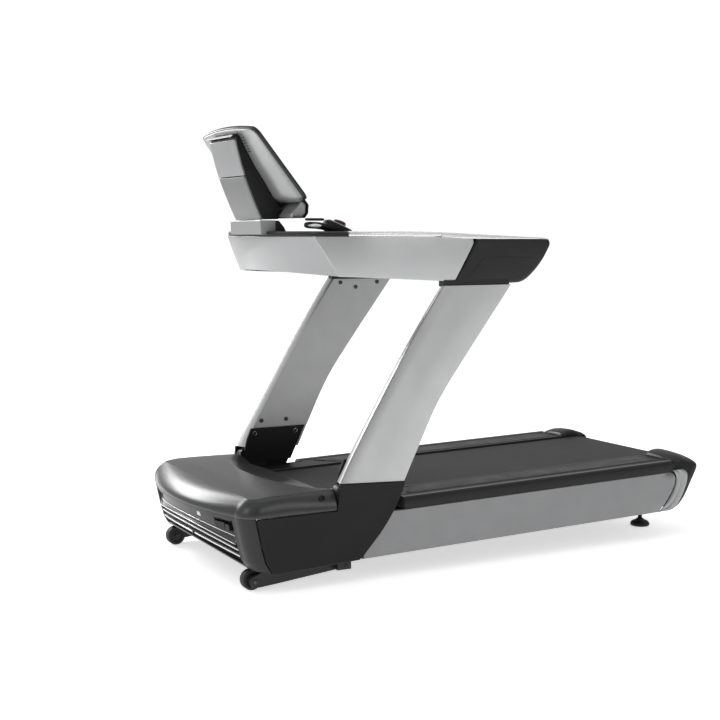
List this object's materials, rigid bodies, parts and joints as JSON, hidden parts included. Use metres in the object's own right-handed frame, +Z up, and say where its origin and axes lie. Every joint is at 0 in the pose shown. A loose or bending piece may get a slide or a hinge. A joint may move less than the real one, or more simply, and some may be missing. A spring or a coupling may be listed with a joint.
{
  "type": "treadmill",
  "caption": "Commercial treadmill: wide running deck on a covered motor base, two leaning blade uprights, wrap-round handrail arms and a tilted console.",
  "frame": {"origin": "on the floor under the middle of the machine's bounding box", "axes": "-X towards the motor and console end, +X towards the step-on end, +Y the user's right when facing the console, +Z up"},
  "size_m": [2.11, 0.948, 1.6117],
  "materials": {
    "charcoal_plastic": "satin",
    "black_plastic": "matte",
    "cover_plastic": "satin",
    "rail_plastic": "ribbed matte",
    "silver_paint": "satin silver",
    "light_trim": "bright satin",
    "blade_aluminium": "satin",
    "belt_pvc": "fine textured",
    "deck_laminate": "waxed laminate",
    "frame_steel": "satin black",
    "roller_steel": "turned",
    "wheel_rubber": "matte",
    "motor_paint": "satin black",
    "screen_glass": "gloss",
    "shell_plastic": "satin silver",
    "stop_red": "satin"
  },
  "bodies": {
    "frame": {"hood": "charcoal_plastic", "front_fascia": "charcoal_plastic", "rear_cap_l": "charcoal_plastic", "rear_cap_r": "charcoal_plastic", "arm_grip_l": "charcoal_plastic", "arm_grip_r": "charcoal_plastic", "control_pod_l": "charcoal_plastic", "control_pod_r": "charcoal_plastic", "display_chin": "charcoal_plastic", "socket_panel": "black_plastic", "power_inlet": "black_plastic", "blade_bracket_l": "black_plastic", "blade_bracket_r": "black_plastic", "arm_core_l": "black_plastic", "arm_core_r": "black_plastic", "dash_tray": "black_plastic", "post_core": "black_plastic", "side_cover_l": "cover_plastic", "side_cover_r": "cover_plastic", "foot_rail_l": "rail_plastic", "foot_rail_r": "rail_plastic", "side_panel_l": "silver_paint", "side_panel_r": "silver_paint", "arm_panel_l": "silver_paint", "arm_panel_r": "silver_paint", "front_cowl": "silver_paint", "post_front_lower": "silver_paint", "post_front_upper": "silver_paint", "front_grille": "light_trim", "rear_accent_l": "light_trim", "rear_accent_r": "light_trim", "arm_trim_l": "light_trim", "arm_trim_r": "light_trim", "post_base": "light_trim", "blade_l": "blade_aluminium", "blade_r": "blade_aluminium", "running_belt": "belt_pvc", "deck_board": "deck_laminate", "frame_rail_l": "frame_steel", "frame_rail_r": "frame_steel", "cross_front": "frame_steel", "cross_rear": "frame_steel", "drive_belt": "wheel_rubber", "drive_motor": "motor_paint", "display_screen": "screen_glass", "display_shell": "shell_plastic"},
    "front_roller": {"front_roller": "roller_steel"},
    "rear_roller": {"rear_roller": "roller_steel"},
    "motor_pulley": {"motor_pulley": "roller_steel"},
    "lift_frame": {"lift_arm_l": "frame_steel", "lift_arm_r": "frame_steel", "lift_tube": "frame_steel"},
    "wheel_l": {"wheel_l": "wheel_rubber"},
    "wheel_r": {"wheel_r": "wheel_rubber"},
    "rear_foot_l": {"rear_foot_l": "wheel_rubber"},
    "rear_foot_r": {"rear_foot_r": "wheel_rubber"},
    "pod_paddle_l": {"pod_paddle_l": "charcoal_plastic"},
    "pod_paddle_r": {"pod_paddle_r": "charcoal_plastic"},
    "power_rocker": {"power_rocker": "black_plastic"},
    "stop_button": {"stop_button": "stop_red"}
  },
  "joints": [
    {"name": "front_roller_spin", "type": "hinge", "parent": "frame", "child": "front_roller", "pos_m": [-0.69, 0, 0.22376], "axis": [0, 1, 0], "continuous": true},
    {"name": "rear_roller_spin", "type": "hinge", "parent": "frame", "child": "rear_roller", "pos_m": [0.995, 0, 0.25999], "axis": [0, 1, 0], "continuous": true},
    {"name": "motor_spin", "type": "hinge", "parent": "frame", "child": "motor_pulley", "pos_m": [-0.85, 0.301, 0.18], "axis": [0, 1, 0], "continuous": true},
    {"name": "lift_hinge", "type": "hinge", "parent": "frame", "child": "lift_frame", "pos_m": [-0.585, 0, 0.066], "axis": [0, -1, 0], "range_deg": [0, 28]},
    {"name": "wheel_l_spin", "type": "hinge", "parent": "lift_frame", "child": "wheel_l", "pos_m": [-0.916, -0.375, 0.036], "axis": [0, 1, 0], "continuous": true},
    {"name": "wheel_r_spin", "type": "hinge", "parent": "lift_frame", "child": "wheel_r", "pos_m": [-0.916, 0.375, 0.036], "axis": [0, 1, 0], "continuous": true},
    {"name": "foot_l_screw", "type": "slide", "parent": "frame", "child": "rear_foot_l", "axis": [0, 0, -1], "range_m": [0, 0.012]},
    {"name": "foot_r_screw", "type": "slide", "parent": "frame", "child": "rear_foot_r", "axis": [0, 0, -1], "range_m": [0, 0.012]},
    {"name": "paddle_l_rock", "type": "hinge", "parent": "frame", "child": "pod_paddle_l", "pos_m": [-0.628, -0.3, 1.2755], "axis": [0, 1, 0], "range_deg": [-6, 6], "stiffness_Nm_per_rad": 0.4},
    {"name": "paddle_r_rock", "type": "hinge", "parent": "frame", "child": "pod_paddle_r", "pos_m": [-0.628, 0.3, 1.2755], "axis": [0, 1, 0], "range_deg": [-6, 6], "stiffness_Nm_per_rad": 0.4},
    {"name": "power_rocker_tilt", "type": "hinge", "parent": "frame", "child": "power_rocker", "pos_m": [-0.9838, -0.3521, 0.2236], "axis": [-0.2669, 0.9637, 0], "range_deg": [-7, 7]},
    {"name": "stop_press", "type": "slide", "parent": "frame", "child": "stop_button", "axis": [-0.342, 0, -0.9397], "range_m": [0, 0.0025], "stiffness_N_per_m": 900}
  ],
  "couplings": [
    {"joint": "rear_roller_spin", "follows": "front_roller_spin", "ratio": 1},
    {"joint": "motor_spin", "follows": "front_roller_spin", "ratio": 2.3333}
  ]
}
